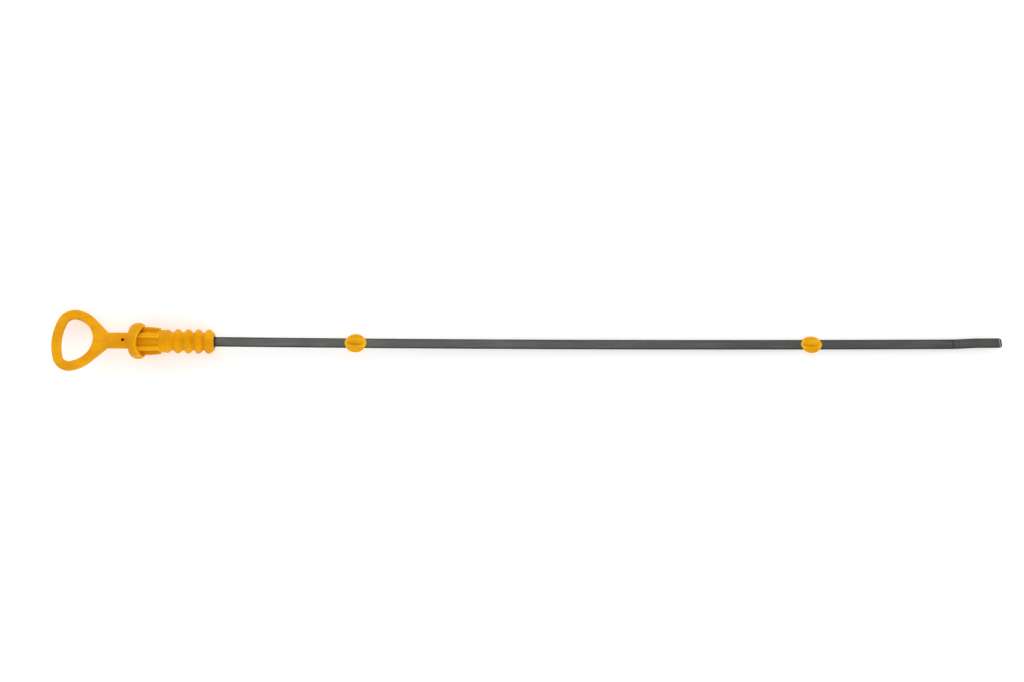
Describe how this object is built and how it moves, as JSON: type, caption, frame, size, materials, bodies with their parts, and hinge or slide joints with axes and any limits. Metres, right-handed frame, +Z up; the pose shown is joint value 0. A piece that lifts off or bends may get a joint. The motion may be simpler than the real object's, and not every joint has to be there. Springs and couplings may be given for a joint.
{
  "type": "engine oil dipstick",
  "caption": "Engine oil dipstick: a yellow moulded finger-loop handle with a domed collar, ribbed body and ridged seal plug on a long flat steel blade with centring beads.",
  "frame": {"origin": "Centre of the dipstick's bounding box, on the flat surface that it lies on (z = 0)", "axes": "+X runs along the dipstick from the finger loop to the measuring tip, +Z is up from the surface that it lies on, and +Y follows from the right hand"},
  "size_m": [0.5774, 0.037, 0.0219],
  "materials": {
    "moulded_yellow": "semi-matt moulded nylon, yellow-orange, fine mould texture and draw marks",
    "spring_steel": "rolled spring steel strip, dark grey, fine lengthwise brushing, darker along its edges"
  },
  "bodies": {
    "root": {"handle": "moulded_yellow", "blade": "spring_steel", "bead_upper": "moulded_yellow", "bead_lower": "moulded_yellow"}
  },
  "joints": []
}
